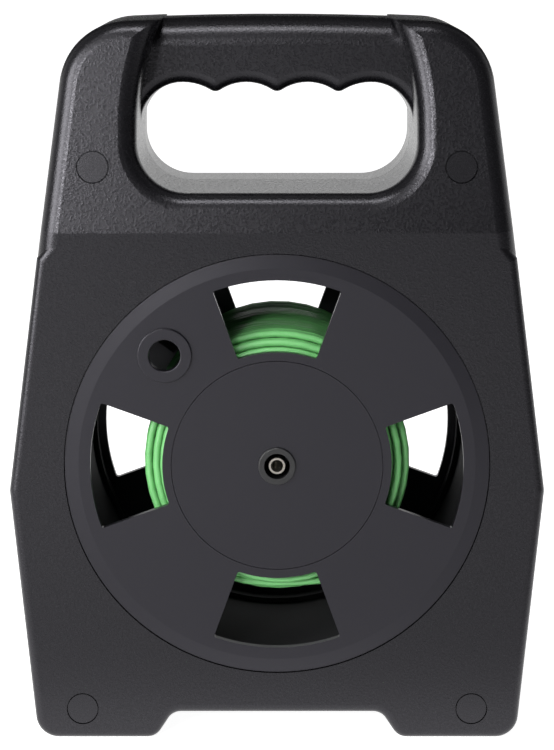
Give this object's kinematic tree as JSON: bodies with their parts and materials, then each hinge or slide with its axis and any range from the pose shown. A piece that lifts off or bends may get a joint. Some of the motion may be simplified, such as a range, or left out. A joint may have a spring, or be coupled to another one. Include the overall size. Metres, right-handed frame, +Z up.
{
  "type": "wire spool",
  "caption": "Hand-carried test-lead reel: two-shell housing with a finger-grip handle, windowed turning drum, wound lead and central safety socket.",
  "frame": {"origin": "on the surface the reel stands on, under the middle of the whole object", "axes": "+Z up, +X to the right seen from the front, +Y to the back; the drum turns about a line along Y at z = 91.5 mm"},
  "size_m": [0.1744, 0.092, 0.2357],
  "materials": {
    "housing_plastic": "charcoal moulded plastic, fine spark-eroded grain",
    "drum_plastic": "charcoal moulded plastic, fine grain",
    "socket_plastic": "black polyamide, satin",
    "contact_brass": "nickel-flashed brass",
    "zinc_steel": "bright zinc plating",
    "green_lead": "green PVC insulation, satin",
    "green_plug": "green moulded PVC, satin"
  },
  "bodies": {
    "housing": {"front_shell": "housing_plastic", "rear_shell": "housing_plastic", "housing_screws": "zinc_steel", "screw_caps": "housing_plastic"},
    "drum": {"front_flange": "drum_plastic", "rear_flange": "drum_plastic", "hub_core": "drum_plastic", "hub_screws": "zinc_steel", "centre_cover": "drum_plastic", "rear_cover": "drum_plastic", "socket_body": "socket_plastic", "socket_contact": "contact_brass", "socket_nut": "socket_plastic", "socket_washer": "zinc_steel", "solder_tag": "contact_brass", "lead_clamp": "drum_plastic", "clamp_screws": "zinc_steel", "lead_tail": "green_lead", "lead_coil": "green_lead", "lead_end": "green_lead", "plug_boot": "green_plug", "plug_body": "green_plug", "plug_pin": "contact_brass", "plug_cage": "contact_brass"}
  },
  "joints": [
    {"name": "drum_spin", "type": "hinge", "parent": "housing", "child": "drum", "pos_m": [0, 0, 0.0915], "axis": [0, 1, 0], "continuous": true}
  ]
}
